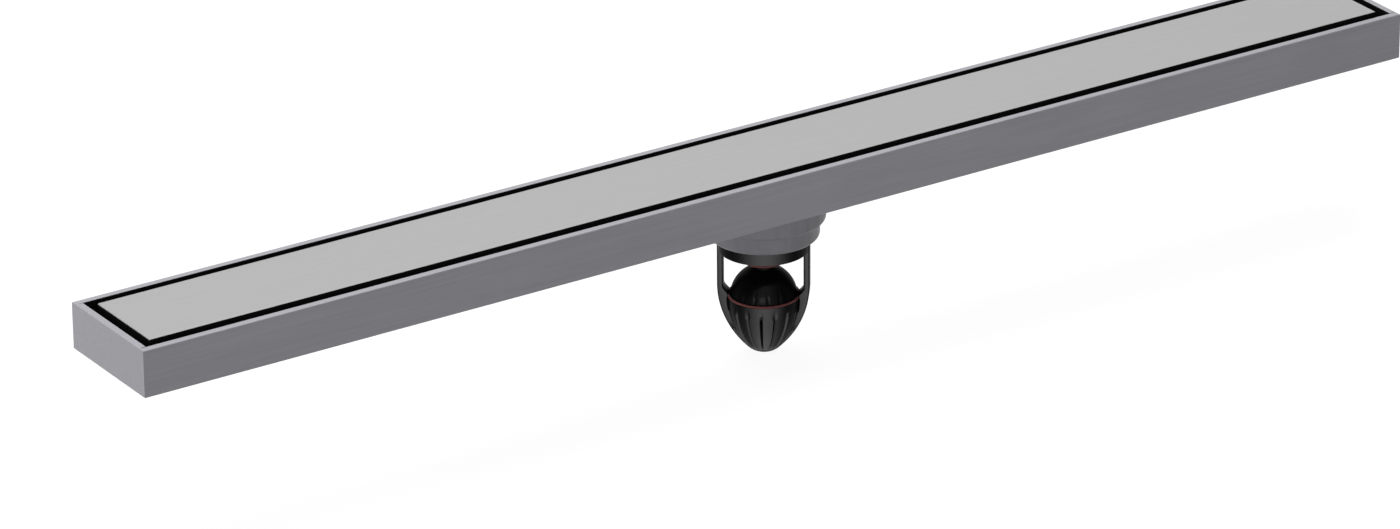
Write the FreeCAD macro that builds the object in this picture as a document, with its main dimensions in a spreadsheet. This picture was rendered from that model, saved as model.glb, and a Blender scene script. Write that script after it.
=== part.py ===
"""Linear shower drain: a steel channel with its cover, a stepped outlet and a drop-in trap core.

X runs along the channel, Y across it and Z up. The origin is on the outlet's axis, level with
the top of the rim, which is the finished floor. Lengths are in millimetres.
"""
import FreeCAD, Part
import math
import os
from types import SimpleNamespace

import Sketcher

doc = FreeCAD.newDocument("linear_shower_drain")

# Driving sizes: name in the sheet, number, meaning
DRIVING_SIZES = [
    ("channel_length", 762.0, "channel, overall length, 30 in"),
    ("channel_width", 70.0, "channel, overall width"),
    ("channel_depth", 25.0, "channel, rim top to underside"),
    ("channel_sheet", 1.2, "channel, steel thickness"),
    ("rim_width", 4.2, "rim, width of the folded hem seen from above"),
    ("rim_lip_depth", 8.0, "rim, how far the hem's inner lip hangs down"),
    ("fold_radius", 0.6, "outside radius of the sharp folds"),
    ("drain_gap", 5.0, "slot between rim and cover"),
    ("cover_sheet", 1.5, "cover, steel thickness"),
    ("cover_skirt", 7.0, "cover, height of its folded skirt"),
    ("cover_proud", 0.4, "cover, height of its face over the rim"),
    ("support_count", 4, "supports under the cover"),
    ("support_length", 24.0, "supports, size along the channel"),
    ("support_span", 38.0, "supports, outside width of the bridge"),
    ("support_sheet", 1.2, "supports, steel thickness"),
    ("support_play", 0.3, "supports, clearance to the channel's walls"),
    ("outlet_sheet", 1.2, "outlet, steel thickness"),
    ("seat_step", 3.2, "outlet, how much wider its upper step is"),
    ("seat_drop", 11.0, "outlet, height of the upper step"),
    ("spigot_radius", 28.8, "outlet, outside radius of the lower step"),
    ("spigot_drop", 9.4, "outlet, height of the lower step"),
    ("press_radius", 1.6, "outlet, bevel of its pressed corners"),
    ("flange_gasket_thickness", 1.0, "core, flat gasket under its flange"),
    ("flange_thickness", 1.8, "core, flange"),
    ("flange_play", 0.6, "core, radial clearance of its flange in the outlet"),
    ("collar_play", 1.0, "core, radial clearance of its collar in the outlet"),
    ("shelf_play", 0.3, "core, height of its collar over the outlet's shelf"),
    ("seal_section", 2.4, "core, thickness of its seal ring"),
    ("seal_play", 0.05, "core, seal ring to outlet wall"),
    ("core_turn", -38.0, "core, turn of the cage arms from the channel's length, degrees"),
    ("cage_radius", 23.7, "cage, outside radius of ring and arms"),
    ("cage_wall", 3.1, "cage, thickness of ring and arms"),
    ("cage_play", 0.5, "cage, radial clearance in the outlet's mouth"),
    ("ring_height", 9.3, "cage, height of the ring"),
    ("ring_round", 1.2, "cage, rounding of the ring's lower edge"),
    ("arm_width", 8.8, "cage, width of the arms"),
    ("arm_straight", 18.8, "cage, straight length of the arms under the ring"),
    ("arm_tip_radius", 12.0, "cage, radius of the arms' outline under the cup"),
    ("arm_proud", 0.4, "cage, height of the arms over the cup's tip"),
    ("web_rise", 1.7, "cage, webs between arms and cup, height over the lip"),
    ("web_inset", 0.3, "cage, webs between arms and cup, how far they reach over the lip"),
    ("snap_play", 0.1, "sleeve, radial clearance of its neck in the ring"),
    ("funnel_lip", 1.0, "sleeve, wall left round the funnel's mouth"),
    ("neck_short", 2.0, "sleeve, how far its neck ends above the ring's lower edge"),
    ("nozzle_reach", 5.0, "sleeve, nozzle below the ring"),
    ("nozzle_bore", 8.2, "sleeve, radius of the nozzle's bore"),
    ("nozzle_rim", 9.8, "sleeve, outside radius of the nozzle's rim"),
    ("strainer_sheet", 0.8, "strainer, steel thickness"),
    ("strainer_play", 0.5, "strainer, radial clearance in the outlet"),
    ("strainer_hole", 3.6, "strainer, width of its square holes"),
    ("strainer_holes", 7, "strainer, holes in its inner ring; the outer one has twice as many"),
    ("dome_radius", 17.4, "dome, outside radius"),
    ("dome_wall", 2.2, "dome, wall"),
    ("dome_travel", 5.0, "dome, travel"),
    ("boss_radius", 5.5, "dome, radius of the boss on its crown"),
    ("boss_rise", 2.8, "dome, height of the boss over its crown"),
    ("post_radius", 4.2, "dome, radius of the post inside it"),
    ("post_length", 8.0, "dome, post below the spring's seat"),
    ("spring_seat_radius", 9.0, "dome, radius of the spring's seat"),
    ("spring_seat_drop", 6.9, "dome, spring's seat below the boss's face"),
    ("shoulder_rise", 6.5, "dome, shoulder inside it above its middle"),
    ("skirt_drop", 0.4, "dome, skirt below its middle"),
    ("crown_gasket_radius", 11.2, "crown gasket, radius"),
    ("crown_gasket_thickness", 1.4, "crown gasket, thickness"),
    ("screw_head_radius", 6.0, "gasket screw, radius of its head"),
    ("screw_head_height", 2.0, "gasket screw, height of its head"),
    ("screw_crown_radius", 3.6, "gasket screw, radius of its head's flat crown"),
    ("screw_shank_radius", 2.5, "gasket screw, radius of its shank"),
    ("screw_shank_reach", 3.6, "gasket screw, shank inside the boss"),
    ("cup_radius", 18.8, "cup, outside radius at its lip"),
    ("cup_depth", 30.4, "cup, lip to tip"),
    ("cup_tip_radius", 14.0, "cup, radius of its rounded tip"),
    ("cup_wall", 1.6, "cup, wall"),
    ("cup_lip_rise", 0.9, "cup, lip above the middle of the closed dome"),
    ("cup_play", 0.2, "cup, radial clearance of the dome"),
    ("cup_stop_play", 0.3, "cup, clearance of the dropped dome to its stop"),
    ("cup_floor_rise", 9.8, "cup, inside floor above its tip"),
    ("cup_seal_thickness", 0.8, "cup seal, thickness"),
    ("cup_seal_inset", 0.5, "cup seal, how far it stands in from the lip's edge"),
    ("flute_count", 16, "flutes round cup and dome"),
    ("flute_width", 1.8, "cup, width of its flutes"),
    ("flute_depth", 0.5, "cup, depth of its flutes"),
    ("flute_start", 2.6, "cup, top of the flutes below the lip"),
    ("guide_wall", 2.1, "guide tube in the cup, wall"),
    ("guide_rise", 12.6, "guide tube in the cup, height over the floor"),
    ("guide_sink", 4.6, "guide tube in the cup, bore below the floor"),
    ("stem_radius", 2.0, "guide stem, radius"),
    ("stem_play", 0.05, "guide stem, radial clearance in its tube"),
    ("stem_hold", 6.0, "guide stem, length held in the post"),
    ("stem_length", 25.0, "guide stem, length"),
    ("stem_chamfer", 0.4, "guide stem, chamfer of its nose"),
    ("spring_radius", 5.6, "spring, mean radius of its coils"),
    ("spring_wire", 0.5, "spring, radius of its wire"),
    ("spring_coils", 4, "spring, number of coils"),
]

sheet = doc.addObject("Spreadsheet::Sheet", "Sizes")
for row, (alias, number, meaning) in enumerate(DRIVING_SIZES, start=1):
    sheet.set("A%d" % row, meaning)
    sheet.set("B%d" % row, str(number))
    sheet.setAlias("B%d" % row, alias)
doc.recompute()


class Size:
    """A size that knows its number now and the sheet formula that keeps it true."""

    def __init__(self, number, formula=None):
        self.number = float(number)
        self.formula = formula or repr(float(number))

    def __add__(self, other):
        other = as_size(other)
        return Size(self.number + other.number, "(%s + %s)" % (self.formula, other.formula))

    def __sub__(self, other):
        other = as_size(other)
        return Size(self.number - other.number, "(%s - %s)" % (self.formula, other.formula))

    def __mul__(self, other):
        other = as_size(other)
        return Size(self.number * other.number, "(%s * %s)" % (self.formula, other.formula))

    def __truediv__(self, other):
        other = as_size(other)
        return Size(self.number / other.number, "(%s / %s)" % (self.formula, other.formula))

    def __neg__(self):
        return Size(-self.number, "(0 - %s)" % self.formula)


def as_size(value):
    return value if isinstance(value, Size) else Size(value)


def root(size):
    return Size(math.sqrt(size.number), "sqrt(%s)" % size.formula)


def arc_tangent(ratio):
    return Size(math.degrees(math.atan(ratio.number)), "atan(%s)" % ratio.formula)


def cosine(angle):
    return Size(math.cos(math.radians(angle.number)), "cos(%s)" % angle.formula)


def sine(angle):
    return Size(math.sin(math.radians(angle.number)), "sin(%s)" % angle.formula)


size = SimpleNamespace(**{alias: Size(number, "Sizes." + alias) for alias, number, _ in DRIVING_SIZES})
AXIS = Size(0)

# Levels, from the floor down
rim_top = AXIS
cover_top = rim_top + size.cover_proud
channel_under = rim_top - size.channel_depth
floor_top = channel_under + size.channel_sheet
seat_under = channel_under - size.seat_drop
seat_top = seat_under + size.outlet_sheet
spigot_end = seat_under - size.spigot_drop
shelf_top = spigot_end + size.outlet_sheet
flange_under = seat_top + size.flange_gasket_thickness
flange_top = flange_under + size.flange_thickness
collar_under = shelf_top + size.shelf_play
ring_under = collar_under - size.ring_height
nozzle_face = ring_under - size.nozzle_reach
boss_top = nozzle_face - size.crown_gasket_thickness
dome_middle = boss_top - size.boss_rise - size.dome_radius
skirt_end = dome_middle - size.skirt_drop
cup_lip = dome_middle + size.cup_lip_rise
cup_stop = skirt_end - size.dome_travel - size.cup_stop_play
cup_tip = cup_lip - size.cup_depth
cup_floor = cup_tip + size.cup_floor_rise
guide_top = cup_floor + size.guide_rise
guide_bottom = cup_floor - size.guide_sink
arm_bend = ring_under - size.arm_straight
arm_tip = cup_tip - size.arm_proud
spring_seat = boss_top - size.spring_seat_drop
post_end = spring_seat - size.post_length

# Radii that pieces share
seat_radius = size.spigot_radius + size.seat_step
seat_bore = seat_radius - size.outlet_sheet
spigot_bore = size.spigot_radius - size.outlet_sheet
mouth_bore = size.cage_radius + size.cage_play
ring_bore = size.cage_radius - size.cage_wall
flange_radius = seat_bore - size.flange_play
funnel_mouth = spigot_bore - size.collar_play - size.funnel_lip
collar_radius = spigot_bore - size.collar_play
neck_radius = ring_bore - size.snap_play
seal_outer = spigot_bore - size.seal_play
seal_inner = seal_outer - size.seal_section
seal_low = (seat_top + collar_under - size.seal_section) / 2
seal_high = seal_low + size.seal_section
cup_bore = size.dome_radius + size.cup_play
cup_seal_radius = size.cup_radius - size.cup_seal_inset
guide_bore = size.stem_radius + size.stem_play
guide_radius = guide_bore + size.guide_wall

# Lengths that pieces share
inner_length = size.channel_length - size.channel_sheet * 2
inner_width = size.channel_width - size.channel_sheet * 2
cover_length = size.channel_length - (size.rim_width + size.drain_gap) * 2
cover_width = size.channel_width - (size.rim_width + size.drain_gap) * 2


def new_body(label):
    body = doc.addObject("PartDesign::Body", label)
    body.Label = label
    return body


def origin_feature(body, role):
    return next(item for item in body.Origin.OriginFeatures if item.Role == role)


def new_sketch(body, name, role, offset=None):
    """Add a sketch on one of the body's origin planes, moved along the plane's normal by offset."""
    sketch = body.newObject("Sketcher::SketchObject", name)
    sketch.AttachmentSupport = [(origin_feature(body, role), "")]
    sketch.MapMode = "FlatFace"
    if offset is not None:
        sketch.AttachmentOffset = FreeCAD.Placement(FreeCAD.Vector(0, 0, offset.number), FreeCAD.Rotation())
        sketch.setExpression("AttachmentOffset.Base.z", offset.formula)
    return sketch


def dimension(sketch, kind, places, value):
    """Add one dimension to a sketch and tie it to the sheet."""
    index = sketch.addConstraint(Sketcher.Constraint(kind, *places, value.number))
    sketch.setExpression("Constraints[%d]" % index, value.formula)


def pin_point(sketch, edge, end, x, y):
    dimension(sketch, "DistanceX", (-1, 1, edge, end), x)
    dimension(sketch, "DistanceY", (-1, 1, edge, end), y)


def arc_middle(start, end, radius, turn):
    """Middle of the short arc from start to end with its centre left or right of the way there."""
    chord = end - start
    middle = (start + end) * 0.5
    left = FreeCAD.Vector(-chord.y, chord.x, 0).normalize()
    away = math.sqrt(max(radius ** 2 - chord.Length ** 2 / 4, 0.0))
    centre = middle + left * (away if turn == "left" else -away)
    return centre + (middle - centre).normalize() * radius


def add_path(sketch, corners, closed=True):
    """Draw a run of lines and arcs. A corner is (x, y), or (x, y, radius, turn) where an arc leaves it."""
    count = len(corners)
    edges = count if closed else count - 1
    ends = {}
    for index in range(edges):
        here, there = corners[index], corners[(index + 1) % count]
        start = FreeCAD.Vector(here[0].number, here[1].number, 0)
        end = FreeCAD.Vector(there[0].number, there[1].number, 0)
        if len(here) == 2:
            edge = sketch.addGeometry(Part.LineSegment(start, end))
            ends[index] = (edge, 1, 2)
        else:
            halfway = arc_middle(start, end, here[2].number, here[3])
            edge = sketch.addGeometry(Part.Arc(start, halfway, end))
            turns_left = here[3] == "left"
            ends[index] = (edge, 1, 2) if turns_left else (edge, 2, 1)
    for index in range(edges):
        edge, first, last = ends[index]
        following = (index + 1) % count
        if following in ends:
            next_edge, next_first, _ = ends[following]
            sketch.addConstraint(Sketcher.Constraint("Coincident", edge, last, next_edge, next_first))
        else:
            pin_point(sketch, edge, last, corners[following][0], corners[following][1])
        pin_point(sketch, edge, first, corners[index][0], corners[index][1])
        if len(corners[index]) == 4:
            dimension(sketch, "Radius", (edge,), corners[index][2])


def add_circle(sketch, x, y, radius):
    centre = FreeCAD.Vector(x.number, y.number, 0)
    edge = sketch.addGeometry(Part.Circle(centre, FreeCAD.Vector(0, 0, 1), radius.number))
    pin_point(sketch, edge, 3, x, y)
    dimension(sketch, "Radius", (edge,), radius)


def add_rectangle(sketch, low_x, high_x, low_y, high_y):
    add_path(sketch, [(low_x, low_y), (high_x, low_y), (high_x, high_y), (low_x, high_y)])


def pad(body, sketch, name, length, both_ways=False, reversed_way=False):
    feature = body.newObject("PartDesign::Pad", name)
    feature.Profile = sketch
    feature.Length = length.number
    feature.setExpression("Length", length.formula)
    feature.SideType = "Symmetric" if both_ways else "One side"
    feature.Reversed = reversed_way
    return feature


def pocket(body, sketch, name, length, both_ways=False, reversed_way=False):
    feature = body.newObject("PartDesign::Pocket", name)
    feature.Profile = sketch
    feature.Length = length.number
    feature.setExpression("Length", length.formula)
    feature.SideType = "Symmetric" if both_ways else "One side"
    feature.Reversed = reversed_way
    return feature


def revolve(body, sketch, name, kind="PartDesign::Revolution"):
    feature = body.newObject(kind, name)
    feature.Profile = sketch
    feature.ReferenceAxis = (sketch, ["V_Axis"])
    feature.Angle = 360.0
    return feature


def polar_pattern(body, features, name, copies):
    pattern = body.newObject("PartDesign::PolarPattern", name)
    pattern.Originals = features
    pattern.Axis = (origin_feature(body, "Z_Axis"), [""])
    pattern.Angle = 360.0
    pattern.Occurrences = int(copies.number)
    pattern.setExpression("Occurrences", copies.formula)
    body.Tip = pattern
    return pattern


def round_edges(body, name, radius, wanted):
    """Round the edges of the body's last feature for which wanted(edge) is true."""
    doc.recompute()
    base = body.Tip
    names = ["Edge%d" % number for number, edge in enumerate(base.Shape.Edges, start=1) if wanted(edge)]
    if not names:
        raise RuntimeError("no edge found to round for " + name)
    feature = body.newObject("PartDesign::Fillet", name)
    feature.Base = (base, names)
    feature.Radius = radius.number
    feature.setExpression("Radius", radius.formula)
    return feature


def near(first, second):
    return abs(first - second) < 0.01


def turn_about_axis(item, angle):
    item.Placement = FreeCAD.Placement(FreeCAD.Vector(), FreeCAD.Rotation(FreeCAD.Vector(0, 0, 1), angle.number))
    item.setExpression("Placement.Rotation.Angle", angle.formula)


def egg_outline(start_radius, start_level, end_level, tip_radius):
    """Two tangent arcs from an upright side to a rounded tip on the axis.

    Returns the side arc's radius, the distance of its centre beyond the axis, and the point where
    the tip's arc takes over.
    """
    drop = start_level - end_level
    rest = drop - tip_radius
    side_radius = (start_radius * start_radius + rest * rest - tip_radius * tip_radius) \
        / ((start_radius - tip_radius) * 2)
    beyond = side_radius - start_radius
    reach = side_radius / (side_radius - tip_radius)
    joint_radius = beyond * reach - beyond
    joint_level = start_level - rest * reach
    return side_radius, beyond, joint_radius, joint_level


def make_channel_trough():
    """One folded sheet: floor, two long walls and their hemmed rims, with the outlet's hole cut in it."""
    body = new_body("channel_trough")
    half = size.channel_width / 2
    wall = half - size.channel_sheet
    lip_outer = half - size.rim_width + size.channel_sheet
    lip_inner = half - size.rim_width
    hem_under = rim_top - size.channel_sheet
    lip_end = rim_top - size.rim_lip_depth
    right_side = [
        (half, channel_under), (half, rim_top), (lip_inner, rim_top), (lip_inner, lip_end),
        (lip_outer, lip_end), (lip_outer, hem_under), (wall, hem_under), (wall, floor_top),
    ]
    left_side = [(-y, z) for y, z in reversed(right_side)]
    section = new_sketch(body, "trough_section", "YZ_Plane")
    add_path(section, right_side + left_side)
    pad(body, section, "trough_length", inner_length, both_ways=True)

    hole = new_sketch(body, "trough_outlet_hole", "XY_Plane", channel_under)
    add_circle(hole, AXIS, AXIS, seat_bore)
    pocket(body, hole, "trough_outlet_cut", size.channel_sheet * 2, both_ways=True)

    def is_fold(edge):
        if len(edge.Vertexes) != 2 or not near(edge.Length, inner_length.number):
            return False
        middle = edge.CenterOfMass
        outside = near(abs(middle.y), half.number) and \
            (near(middle.z, rim_top.number) or near(middle.z, channel_under.number))
        return outside or (near(abs(middle.y), lip_inner.number) and near(middle.z, rim_top.number))

    round_edges(body, "trough_folds", size.fold_radius, is_fold)
    return body


def make_end_plate(label, side):
    """A folded end plate: its upright face, the rim's hem across the end and the hem's lip."""
    body = new_body(label)
    half = size.channel_width / 2
    face = new_sketch(body, label + "_outline", "YZ_Plane", inner_length / 2 * side)
    add_rectangle(face, -half, half, channel_under, rim_top)
    pad(body, face, label + "_face", size.channel_sheet, reversed_way=side < 0)

    hem_width = size.channel_width - size.rim_width * 2
    inside = inner_length / 2 * side
    lip_inner = (size.channel_length / 2 - size.rim_width) * side
    lip_outer = lip_inner + size.channel_sheet * side
    hem_under = rim_top - size.channel_sheet
    lip_end = rim_top - size.rim_lip_depth
    hem = new_sketch(body, label + "_hem_section", "XZ_Plane")
    add_path(hem, [(inside, rim_top), (lip_inner, rim_top), (lip_inner, lip_end),
                   (lip_outer, lip_end), (lip_outer, hem_under), (inside, hem_under)])
    pad(body, hem, label + "_hem", hem_width, both_ways=True)

    def is_corner(edge):
        if len(edge.Vertexes) != 2:
            return False
        middle = edge.CenterOfMass
        along_x = near(edge.Length, size.channel_sheet.number) and near(abs(middle.y), half.number)
        on_outside = near(abs(middle.x), size.channel_length.number / 2) and near(middle.y, 0)
        inside_fold = near(middle.x, lip_inner.number) and near(middle.z, rim_top.number)
        return along_x or on_outside or inside_fold

    round_edges(body, label + "_folds", size.fold_radius, is_corner)
    return body


def make_cover_panel():
    """A flat steel cover folded down into a short skirt all round."""
    body = new_body("cover_panel")
    outline = new_sketch(body, "cover_outline", "XY_Plane", cover_top)
    add_rectangle(outline, -cover_length / 2, cover_length / 2, -cover_width / 2, cover_width / 2)
    pad(body, outline, "cover_block", size.cover_skirt, reversed_way=True)
    inner_length_half = cover_length / 2 - size.cover_sheet
    inner_width_half = cover_width / 2 - size.cover_sheet
    hollow = new_sketch(body, "cover_hollow_outline", "XY_Plane", cover_top - size.cover_skirt)
    add_rectangle(hollow, -inner_length_half, inner_length_half, -inner_width_half, inner_width_half)
    pocket(body, hollow, "cover_hollow", size.cover_skirt - size.cover_sheet, reversed_way=True)
    round_edges(body, "cover_fold", size.fold_radius,
                lambda edge: all(near(point.Z, cover_top.number) for point in edge.Vertexes))
    return body


def make_panel_support(number):
    """A folded bridge that carries the cover and keeps it in the middle of the channel."""
    label = "panel_support_%d" % number
    body = new_body(label)
    place = size.channel_length / size.support_count * (Size(number) - (size.support_count + 1) / 2)
    bridge_top = cover_top - size.cover_sheet
    bridge_under = bridge_top - size.support_sheet
    leg_outer = size.support_span / 2
    leg_inner = leg_outer - size.support_sheet
    foot_end = inner_width / 2 - size.support_play
    foot_top = floor_top + size.support_sheet
    right_side = [
        (leg_outer, bridge_top), (leg_outer, foot_top), (foot_end, foot_top), (foot_end, floor_top),
        (leg_inner, floor_top), (leg_inner, bridge_under),
    ]
    left_side = [(-y, z) for y, z in reversed(right_side)]
    section = new_sketch(body, label + "_section", "YZ_Plane", place)
    add_path(section, right_side + left_side)
    pad(body, section, label + "_strip", size.support_length, both_ways=True)
    return body


def make_outlet_cup():
    """The pressed outlet: an upper step that seats the core and a lower one that the pipe slips over."""
    body = new_body("outlet_cup")
    section = new_sketch(body, "outlet_section", "XZ_Plane")
    add_path(section, [
        (seat_bore, channel_under), (seat_radius, channel_under),
        (seat_radius, seat_under + size.press_radius), (seat_radius - size.press_radius, seat_under),
        (size.spigot_radius, seat_under), (size.spigot_radius, spigot_end + size.press_radius),
        (size.spigot_radius - size.press_radius, spigot_end), (mouth_bore, spigot_end),
        (mouth_bore, shelf_top), (spigot_bore, shelf_top), (spigot_bore, seat_top), (seat_bore, seat_top),
    ])
    revolve(body, section, "outlet_turn")
    return body


def make_hair_strainer():
    """A perforated steel disc that lies on the core's flange and keeps hair out of the funnel."""
    body = new_body("hair_strainer")
    disc = new_sketch(body, "strainer_outline", "XY_Plane", flange_top)
    add_circle(disc, AXIS, AXIS, seat_bore - size.strainer_play)
    pad(body, disc, "strainer_disc", size.strainer_sheet)
    half_hole = size.strainer_hole / 2
    for ring in (1, 2):
        distance = funnel_mouth * ring / 2.6
        hole = new_sketch(body, "strainer_hole_%d" % ring, "XY_Plane", flange_top)
        add_rectangle(hole, distance - half_hole, distance + half_hole, -half_hole, half_hole)
        cut = pocket(body, hole, "strainer_cut_%d" % ring, size.strainer_sheet * 2, both_ways=True)
        polar_pattern(body, [cut], "strainer_ring_%d" % ring, size.strainer_holes * ring)
    return body


def make_flat_ring(label, inner, outer, low, high):
    """A flat gasket ring round the outlet's axis."""
    body = new_body(label)
    section = new_sketch(body, label + "_section", "XZ_Plane")
    add_rectangle(section, inner, outer, low, high)
    revolve(body, section, label + "_turn")
    return body


def make_core_sleeve():
    """The core's body: seat flange, grooved collar, snap neck, and the funnel that ends in the nozzle."""
    body = new_body("core_sleeve")
    neck_end = ring_under + size.neck_short
    section = new_sketch(body, "sleeve_section", "XZ_Plane")
    add_path(section, [
        (flange_radius, flange_top), (funnel_mouth, flange_top), (size.nozzle_bore, neck_end),
        (size.nozzle_bore, nozzle_face),
        (size.nozzle_rim, nozzle_face), (size.nozzle_rim, neck_end), (neck_radius, neck_end),
        (neck_radius, collar_under), (collar_radius, collar_under),
        (collar_radius, seal_low), (seal_inner, seal_low), (seal_inner, seal_high), (collar_radius, seal_high),
        (collar_radius, flange_under), (flange_radius, flange_under),
    ])
    revolve(body, section, "sleeve_turn")
    return body


def egg_levels(side, beyond, start_level, end_level, tip_radius):
    """Radius and level where the cup's straight bands meet, on the two arcs of its outline."""
    tip_middle = end_level + tip_radius
    joint_angle = arc_tangent((start_level - tip_middle) / beyond)
    tip_angle = Size(90, "90 deg") - joint_angle
    levels = []
    for share in (0, 0.5, 1):
        angle = joint_angle * share
        levels.append((side * cosine(angle) - beyond, start_level - side * sine(angle)))
    for share in (0.4, 0.8):
        angle = joint_angle + tip_angle * share
        levels.append((tip_radius * cosine(angle), tip_middle - tip_radius * sine(angle)))
    return levels


def add_fluted_outline(sketch, radius):
    """Draw one section of the cup: a flat land and a V-shaped flute for each share of the turn."""
    share = Size(360, "360 deg") / size.flute_count
    flute_angle = Size(360, "360 deg") * size.flute_width / (size.cup_radius * math.pi * 4)
    groove = radius * (Size(1) - size.flute_depth / size.cup_radius)
    corners = []
    for flute in range(int(size.flute_count.number)):
        middle = share * flute
        for angle, distance in ((middle, groove), (middle + flute_angle, radius),
                                (middle + share - flute_angle, radius)):
            corners.append((distance * cosine(angle), distance * sine(angle)))
    add_path(sketch, corners)


def make_valve_cage():
    """One black moulding: the ring, two arms and the fluted egg-shaped cup with its guide tube."""
    body = new_body("valve_cage")
    side, beyond, _, _ = egg_outline(size.cup_radius, cup_lip, cup_tip, size.cup_tip_radius)
    bands = egg_levels(side, beyond, cup_lip - size.flute_start, cup_tip, size.cup_tip_radius)
    sections = []
    for number, (radius, level) in enumerate(bands, start=1):
        section = new_sketch(body, "cup_section_%d" % number, "XY_Plane", level)
        add_fluted_outline(section, radius)
        sections.append(section)
    cup = body.newObject("PartDesign::AdditiveLoft", "fluted_cup")
    cup.Profile = sections[0]
    cup.Sections = sections[1:]
    cup.Ruled = True
    collar = new_sketch(body, "cup_collar_outline", "XY_Plane", cup_lip)
    add_circle(collar, AXIS, AXIS, size.cup_radius)
    pad(body, collar, "cup_collar", size.flute_start, reversed_way=True)

    arm_side, _, arm_joint_radius, arm_joint_level = \
        egg_outline(size.cage_radius, arm_bend, arm_tip, size.arm_tip_radius)
    inner_edge = size.cage_radius - size.cage_wall
    web_inner = size.cup_radius - size.web_inset
    web_top = cup_lip + size.web_rise
    web_start = web_top + (inner_edge - web_inner)
    web_foot = size.cup_radius - size.cup_wall
    arm = new_sketch(body, "arm_outline", "XZ_Plane")
    add_path(arm, [
        (AXIS, arm_tip, size.arm_tip_radius, "left"), (arm_joint_radius, arm_joint_level, arm_side, "left"),
        (size.cage_radius, arm_bend), (size.cage_radius, ring_under + size.ring_round),
        (inner_edge, ring_under + size.ring_round), (inner_edge, web_start), (web_inner, web_top),
        (web_inner, cup_lip), (web_foot, cup_lip), (AXIS, cup_floor),
    ])
    first_arm = pad(body, arm, "arm", size.arm_width, both_ways=True)
    polar_pattern(body, [first_arm], "arms", Size(2))

    ring = new_sketch(body, "ring_section", "XZ_Plane")
    add_path(ring, [
        (ring_bore, ring_under), (size.cage_radius - size.ring_round, ring_under),
        (size.cage_radius, ring_under + size.ring_round), (size.cage_radius, collar_under),
        (ring_bore, collar_under),
    ])
    revolve(body, ring, "ring_turn")

    stop_radius, floor_radius = (
        root(side * side - (cup_lip - level) * (cup_lip - level)) - beyond - size.cup_wall
        for level in (cup_stop, cup_floor))
    cavity = new_sketch(body, "cup_cavity_section", "XZ_Plane")
    add_path(cavity, [
        (AXIS, cup_lip), (AXIS, guide_bottom), (guide_bore, guide_bottom), (guide_bore, guide_top),
        (guide_radius, guide_top), (guide_radius, cup_floor), (floor_radius, cup_floor),
        (stop_radius, cup_stop), (cup_bore, cup_stop), (cup_bore, cup_lip),
    ])
    revolve(body, cavity, "cup_cavity", "PartDesign::Groove")
    turn_about_axis(body, size.core_turn)
    return body


def make_valve_dome():
    """The moving dome: a hollow cap, a boss for its gasket and a post for spring and stem."""
    body = new_body("valve_dome")
    outer = size.dome_radius
    inner = outer - size.dome_wall
    boss_foot = dome_middle + root(outer * outer - size.boss_radius * size.boss_radius)
    screw_hole_end = boss_top - size.screw_shank_reach
    stem_top = post_end + size.stem_hold
    shoulder = dome_middle + size.shoulder_rise
    boss_angle = arc_tangent((boss_foot - dome_middle) / size.boss_radius)
    bands = [(outer * cosine(boss_angle * band / 3), dome_middle + outer * sine(boss_angle * band / 3))
             for band in range(4)]
    section = new_sketch(body, "dome_section", "XZ_Plane")
    add_path(section, [
        (AXIS, screw_hole_end), (AXIS, stem_top), (size.stem_radius, stem_top), (size.stem_radius, post_end),
        (size.post_radius, post_end), (size.post_radius, spring_seat), (size.spring_seat_radius, spring_seat),
        (size.spring_seat_radius, shoulder), (inner, shoulder), (inner, skirt_end), (outer, skirt_end)] + bands + [
        (size.boss_radius, boss_top), (size.screw_shank_radius, boss_top),
        (size.screw_shank_radius, screw_hole_end),
    ])
    revolve(body, section, "dome_turn")
    return body


def make_crown_gasket():
    """The silicone disc that closes the nozzle."""
    body = new_body("crown_gasket")
    section = new_sketch(body, "crown_gasket_section", "XZ_Plane")
    add_path(section, [
        (size.screw_shank_radius, boss_top), (size.crown_gasket_radius, boss_top),
        (size.crown_gasket_radius, nozzle_face), (size.screw_shank_radius, nozzle_face),
    ])
    revolve(body, section, "crown_gasket_turn")
    return body


def make_gasket_screw():
    """A button-headed screw that clamps the gasket on the dome's boss."""
    body = new_body("gasket_screw")
    shank_end = boss_top - size.screw_shank_reach
    head_top = nozzle_face + size.screw_head_height
    section = new_sketch(body, "screw_section", "XZ_Plane")
    add_path(section, [
        (AXIS, shank_end), (size.screw_shank_radius, shank_end), (size.screw_shank_radius, nozzle_face),
        (size.screw_head_radius, nozzle_face), (size.screw_crown_radius, head_top), (AXIS, head_top),
    ])
    revolve(body, section, "screw_turn")
    return body


def make_guide_stem():
    """A steel pin held in the dome's post and sliding in the cup's guide tube."""
    body = new_body("guide_stem")
    top = post_end + size.stem_hold
    bottom = top - size.stem_length
    nose = size.stem_radius - size.stem_chamfer
    section = new_sketch(body, "stem_section", "XZ_Plane")
    add_path(section, [
        (AXIS, bottom), (nose, bottom), (size.stem_radius, bottom + size.stem_chamfer),
        (size.stem_radius, top), (AXIS, top),
    ])
    revolve(body, section, "stem_turn")
    return body


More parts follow.
